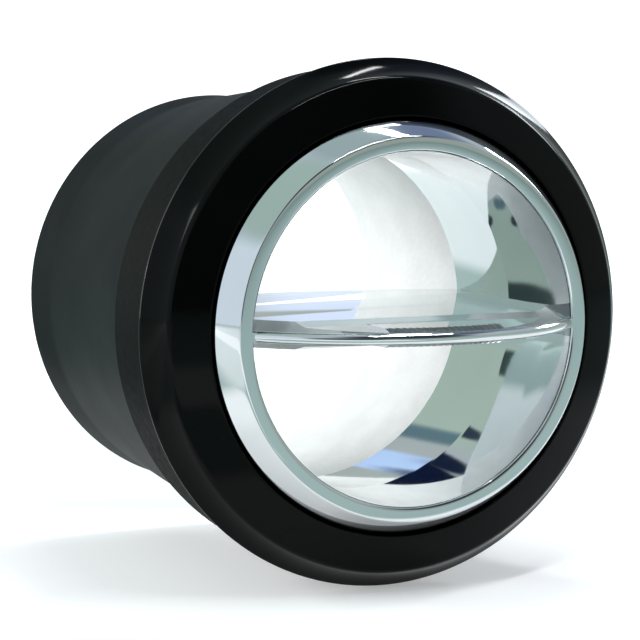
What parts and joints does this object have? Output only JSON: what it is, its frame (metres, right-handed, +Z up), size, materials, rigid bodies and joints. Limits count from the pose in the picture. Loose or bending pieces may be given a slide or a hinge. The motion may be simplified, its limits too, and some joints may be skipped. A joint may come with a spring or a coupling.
{
  "type": "vent louver",
  "caption": "Round swivel-ball air vent: bright plated ball with a cross vane and thumb tab, in a gloss black domed bezel with a tapered duct sleeve behind.",
  "frame": {"origin": "on the duct axis, in the rear face of the flange that seats on the panel", "axes": "+Y along the duct axis towards the rear, +Z up, +X to the right as seen from the front"},
  "size_m": [0.0936, 0.1026, 0.0936],
  "materials": {
    "bezel_plastic": "gloss black moulding",
    "sleeve_plastic": "satin black moulding",
    "bright_plating": "bright plated plastic moulding",
    "felt": "dense grey felt",
    "white_foam": "white closed-cell foam"
  },
  "bodies": {
    "housing": {"bezel": "bezel_plastic", "rear_sleeve": "sleeve_plastic", "duct_liner": "white_foam"},
    "seat_ring": {"friction_ring": "felt"},
    "ball": {"louver_ball": "bright_plating"}
  },
  "joints": [
    {"name": "ball_spin", "type": "hinge", "parent": "housing", "child": "seat_ring", "pos_m": [0, 0.00955, 0], "axis": [0, 1, 0], "continuous": true},
    {"name": "ball_tilt", "type": "hinge", "parent": "seat_ring", "child": "ball", "pos_m": [0, 0.00955, 0], "axis": [1, 0, 0], "range_deg": [-20, 20]}
  ]
}
